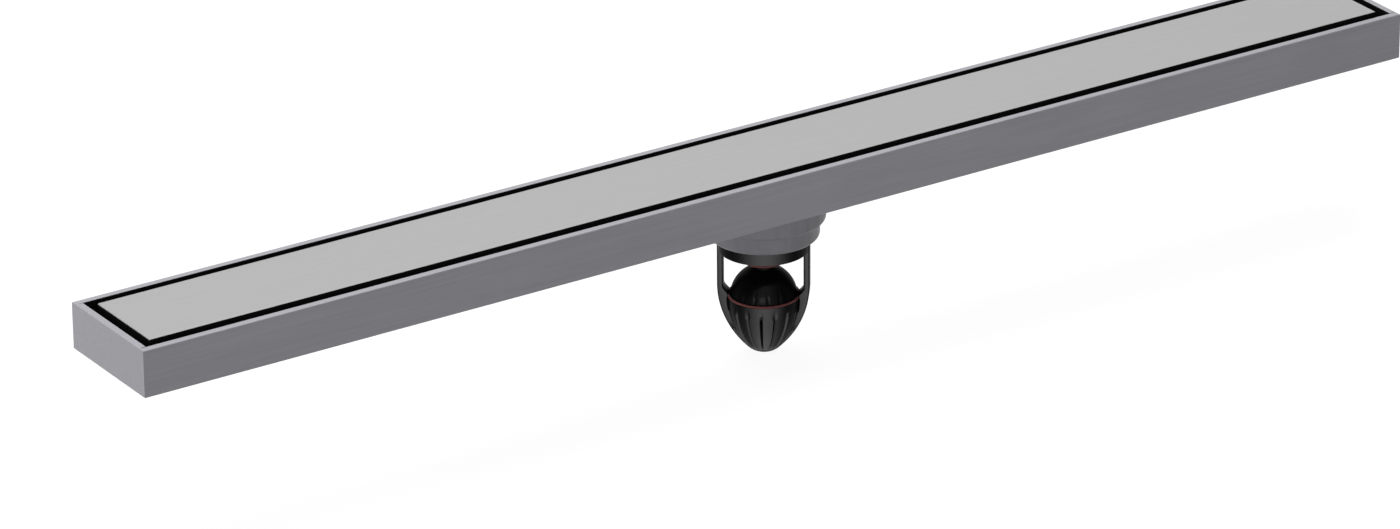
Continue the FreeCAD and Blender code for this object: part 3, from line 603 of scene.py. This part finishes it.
def side_by_side(outer, inner):
    """Draw a flat upright strip between two lines of (distance, height) points, edge by edge."""
    bpy.ops.object.select_all(action="DESELECT")
    bpy.ops.mesh.primitive_plane_add(size=MM, rotation=(pi / 2, 0, 0))
    bpy.ops.object.transform_apply(rotation=True)
    strip = bpy.context.object
    bpy.ops.object.mode_set(mode="EDIT")
    select_verts(strip, lambda place: place.z < 0)
    bpy.ops.mesh.delete(type="VERT")
    select_verts(strip, lambda place: True)
    here = (Vector((-MM / 2, 0, MM / 2)), Vector((MM / 2, 0, MM / 2)))
    for number, (far, close) in enumerate(zip(outer, inner)):
        there = (Vector((close[0], 0, close[1])) * MM, Vector((far[0], 0, far[1])) * MM)
        if number:
            bpy.ops.mesh.extrude_region_move()
        before, after = here[1] - here[0], there[1] - there[0]
        turn = atan2(after.z, after.x) - atan2(before.z, before.x)
        bpy.ops.transform.translate(value=(there[0] + there[1] - here[0] - here[1]) / 2)
        middle = (there[0] + there[1]) / 2
        share = after.length / before.length
        bpy.ops.transform.resize(value=(share, share, share), center_override=middle)
        bpy.ops.transform.rotate(value=turn, orient_axis="Y", center_override=middle)
        here = there
    bpy.ops.object.mode_set(mode="OBJECT")
    return strip


# The arms are cut from a strip. Its outer edge runs down the ring and round the cup's egg to just
# past the axis; its inner edge runs down beside the dome, widens to a web, and follows the cup.
arm_top, arm_bend, arm_tip = ring_under + 8.0, ring_under - 18.8, cage_low.z / MM
arm_tip_radius, past_axis, past_axis_rise = 12.0, 2.0, 0.35
arm_outside = [(cage_radius, arm_top), (cage_radius, (ring_under + arm_bend) / 2)] \
    + egg(cage_radius, arm_bend, arm_tip, arm_tip_radius, 36, 14) \
    + [(-past_axis, arm_tip + past_axis_rise)]
web_inner, web_start, web_end, web_curve = cup_radius - 1.15, cup_lip + 5.2, cup_lip + 1.4, 1.3
web_foot, bore_foot, rib_start = cup_lip - 0.5, cup_stop - 1.0, arm_tip + 12.7
sunk_by_bore, sunk_below, rib_depth = 0.6, 1.2, 2.2
arm_inside = []
for number, (radius, level) in enumerate(arm_outside):
    if level > web_start:
        arm_inside.append((inner_edge, level))
    elif level > web_end:
        share = (web_start - level) / (web_start - web_end)
        arm_inside.append((inner_edge - (inner_edge - web_inner) * share ** web_curve, level))
    elif level > web_foot:
        arm_inside.append((web_inner, level))
    elif level > rib_start:
        sunk = sunk_by_bore if level > bore_foot else sunk_below
        arm_inside.append((radius_at(cup_outside, level) - sunk, level))
    else:
        following = arm_outside[min(number + 1, len(arm_outside) - 1)]
        along = (Vector(following) - Vector(arm_outside[number - 1])).normalized()
        arm_inside.append((radius + along.y * rib_depth, level - along.x * rib_depth))

arm_width, arm_edge_round, sharp_edge = 8.8, 0.8, radians(50)
arms = []
for half_turn in (0, pi):
    strip = side_by_side(arm_outside, arm_inside)
    bpy.ops.object.mode_set(mode="EDIT")
    bpy.ops.mesh.select_all(action="SELECT")
    bpy.ops.transform.translate(value=(0, -arm_width / 2 * MM, 0))
    bpy.ops.mesh.extrude_region_move(TRANSFORM_OT_translate={"value": (0, arm_width * MM, 0)})
    bpy.ops.mesh.select_all(action="SELECT")
    bpy.ops.mesh.normals_make_consistent(inside=False)
    bpy.ops.object.mode_set(mode="OBJECT")
    bevel = strip.modifiers.new("arm_edges", "BEVEL")
    bevel.width = arm_edge_round * MM
    bevel.segments = 3
    bevel.limit_method = "ANGLE"
    bevel.angle_limit = sharp_edge
    bevel.use_clamp_overlap = False
    bpy.ops.object.modifier_apply(modifier=bevel.name)
    strip.rotation_euler.z = half_turn
    bpy.ops.object.transform_apply(rotation=True)
    arms.append(strip)

bpy.ops.object.select_all(action="DESELECT")
for piece in [cup, ring] + arms:
    piece.select_set(True)
bpy.context.view_layer.objects.active = cup
bpy.ops.object.join()
cage = bpy.context.object
cage.name = cage.data.name = "cage_moulding"
cage.rotation_euler.z = core_turn
bpy.ops.object.transform_apply(rotation=True)
dress(cage, black_plastic, "drain", "valve_cage", angle=38)


# The valve dome. A hollow black cap with soft flutes round its foot, a boss that carries its
# gasket, and a post inside that locates the spring and holds the guide stem.
dome_low, dome_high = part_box("valve_dome")
dome_radius, dome_wall, skirt_height, ceiling_angle = 17.4, 2.2, 0.4, 52
skirt_end, boss_top = dome_low.z / MM, dome_high.z / MM
dome_middle = skirt_end + skirt_height
boss_radius, boss_round = 5.5, 0.4
boss_angle = acos(boss_radius / dome_radius) * 180 / pi
seat_depth, post_radius, post_length, crown_ring = 6.9, 4.2, 8.0, 0.2
spring_seat = boss_top - seat_depth
post_end = spring_seat - post_length
dome_outline = (
    [(crown_ring, boss_top)]
    + arc(boss_radius - boss_round, boss_top - boss_round, boss_round, 90, 0, 3)
    + arc(0, dome_middle, dome_radius, boss_angle, 0, 22)
    + [(dome_radius, skirt_end), (dome_radius - dome_wall, skirt_end)]
    + arc(0, dome_middle, dome_radius - dome_wall, 0, ceiling_angle, 10)
    + [(post_radius, spring_seat), (post_radius, post_end), (crown_ring, post_end)])
dome = turned("dome_cap", dome_outline, closed=False)

dome_flute_top, dome_flute_full = dome_middle + 9.0, dome_middle + 6.5
dome_flute_end, dome_flute_depth = skirt_end - 0.1, 0.022


def dome_surface(level):
    return sqrt(dome_radius ** 2 - (level - dome_middle) ** 2)


press_flutes(dome, dome_surface, dome_flute_full, dome_flute_top, dome_flute_depth / 2)
press_flutes(dome, dome_surface, dome_flute_end, dome_flute_full, dome_flute_depth)
dome.rotation_euler.z = core_turn + flute_turn / 2
bpy.ops.object.select_all(action="DESELECT")
dome.select_set(True)
bpy.ops.object.transform_apply(rotation=True)
# Painted shade: the dome takes the black plastic with its gloss and highlight turned down, for the
# dark it hangs in under the ring and the outlet.
shaded_dome_plastic = moulded("shaded_dome_plastic", grey(0.003), grey(0.005), fineness=1400.0,
                       relief=0.15, smooth=0.3, rough=0.42, gloss=0.01, highlight_polish=0.1)
dress(dome, shaded_dome_plastic, "dome", "valve_dome", angle=38)


# The crown gasket and its screw. A brick-red silicone disc that closes the nozzle, clamped on the
# dome's boss by a black button-headed screw.
gasket_low, gasket_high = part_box("crown_gasket")
gasket_radius = gasket_high.x / MM
gasket_under, gasket_face = gasket_low.z / MM, gasket_high.z / MM
gasket_round, screw_shank = 0.4, 2.5
gasket = turned("crown_gasket_disc", (
    arc(gasket_radius - gasket_round, gasket_under + gasket_round, gasket_round, -90, 0, 3)
    + arc(gasket_radius - gasket_round, gasket_face - gasket_round, gasket_round, 0, 90, 3)
    + [(screw_shank, gasket_face), (screw_shank, gasket_under)]))
dress(gasket, red_silicone, "dome", "crown_gasket")

screw_low, screw_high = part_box("gasket_screw")
head_radius, head_top, shank_end = 6.0, screw_high.z / MM, screw_low.z / MM
head_rise = head_top - gasket_face
crown = (head_radius ** 2 + head_rise ** 2) / (2 * head_rise)
crown_edge = 90 - acos(1 - head_rise / crown) * 180 / pi
drive_radius, drive_depth = 1.5, 1.2
drive_floor = head_top - drive_depth
head_arc = arc(0, head_top - crown, crown, 90, crown_edge, 10)
screw_outline = (
    [(crown_ring, drive_floor), (drive_radius, drive_floor)]
    + [point for point in head_arc if point[0] > drive_radius]
    + [(head_radius, gasket_face), (screw_shank, gasket_face), (screw_shank, shank_end),
       (crown_ring, shank_end)])
screw = turned("button_screw", screw_outline, closed=False, steps=48)
dress(screw, black_plastic, "dome", "gasket_screw")


# The guide stem and the return spring. A bright steel pin slides in the cup's tube, and a light
# coil of spring wire round the tube lifts the dome.
bright_steel = steel("bright_steel", grey(0.58), grey(0.5), (400, 400, 400),
                     smooth=0.2, rough=0.32, relief=0.05)
finish_node("guide_stem", bright_steel)

wire_radius, coil_radius, coil_turns, wire_sides, coil_steps = 0.5, 5.6, 4, 12, 48
coil_low, coil_high = cup_floor + wire_radius, spring_seat - wire_radius
bpy.ops.object.select_all(action="DESELECT")
bpy.ops.mesh.primitive_circle_add(vertices=wire_sides, radius=wire_radius * MM,
                                  location=(coil_radius * MM, 0, coil_low * MM),
                                  rotation=(pi / 2, 0, 0), fill_type="NGON")
bpy.ops.object.transform_apply(location=True, rotation=True)
coil = bpy.context.object
coil.name = coil.data.name = "spring_coil"
winding = coil.modifiers.new("winding", "SCREW")
winding.screw_offset = (coil_high - coil_low) / coil_turns * MM
winding.iterations = coil_turns
winding.steps = winding.render_steps = coil_steps
bpy.ops.object.modifier_apply(modifier=winding.name)
bpy.ops.object.mode_set(mode="EDIT")
bpy.ops.mesh.select_all(action="SELECT")
bpy.ops.mesh.remove_doubles(threshold=2 * SAME_PLACE)
bpy.ops.mesh.select_all(action="DESELECT")
bpy.ops.mesh.select_mode(type="EDGE")
bpy.ops.mesh.select_non_manifold()
bpy.ops.mesh.edge_face_add()
bpy.ops.mesh.select_all(action="SELECT")
bpy.ops.mesh.normals_make_consistent(inside=False)
bpy.ops.object.mode_set(mode="OBJECT")
dress(coil, bright_steel, "drain", "return_spring")
